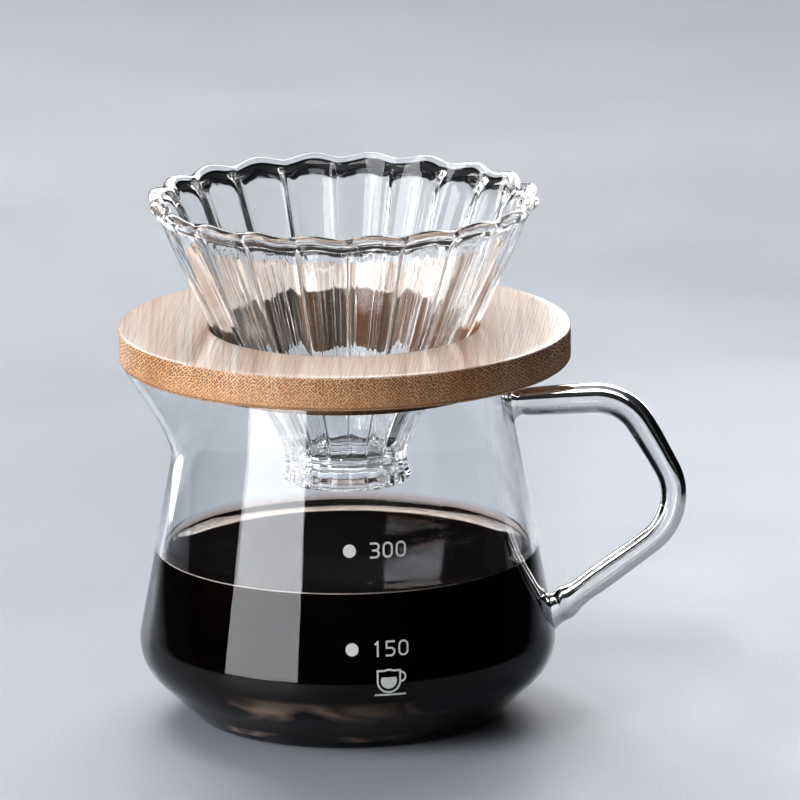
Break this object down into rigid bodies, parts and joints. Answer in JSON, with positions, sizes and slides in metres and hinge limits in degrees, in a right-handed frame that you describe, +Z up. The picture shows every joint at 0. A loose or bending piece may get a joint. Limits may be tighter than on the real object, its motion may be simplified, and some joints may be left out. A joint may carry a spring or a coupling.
{
  "type": "pour over dripper set",
  "caption": "Fluted glass pour over dripper held in a bamboo stand ring on a glass coffee server with a pouring lip, a bent rod handle and coffee in it.",
  "frame": {"origin": "centre of the server's flat base, where it stands on the table", "axes": "+Z up through the server, the stand ring and the dripper; +X towards the handle; -Y is the front with the volume marks; the pouring lip points to -X"},
  "size_m": [0.1309, 0.105, 0.123],
  "materials": {
    "server_glass": "clear blown borosilicate",
    "handle_glass": "clear solid rod",
    "dripper_glass": "clear pressed",
    "coffee": "black coffee",
    "print": "white screen print",
    "bamboo": "fine sanded, unvarnished"
  },
  "bodies": {
    "server": {"server_body": "server_glass", "server_handle": "handle_glass", "coffee": "coffee", "mark_300": "print", "mark_150": "print", "cup_symbol": "print"},
    "ring": {"stand_ring": "bamboo"},
    "dripper": {"dripper": "dripper_glass"}
  },
  "joints": [
    {"name": "ring_lift", "type": "slide", "parent": "server", "child": "ring", "axis": [0, 0, 1], "range_m": [0, 0.1]},
    {"name": "dripper_lift", "type": "slide", "parent": "ring", "child": "dripper", "axis": [0, 0, 1], "range_m": [0, 0.09]}
  ]
}
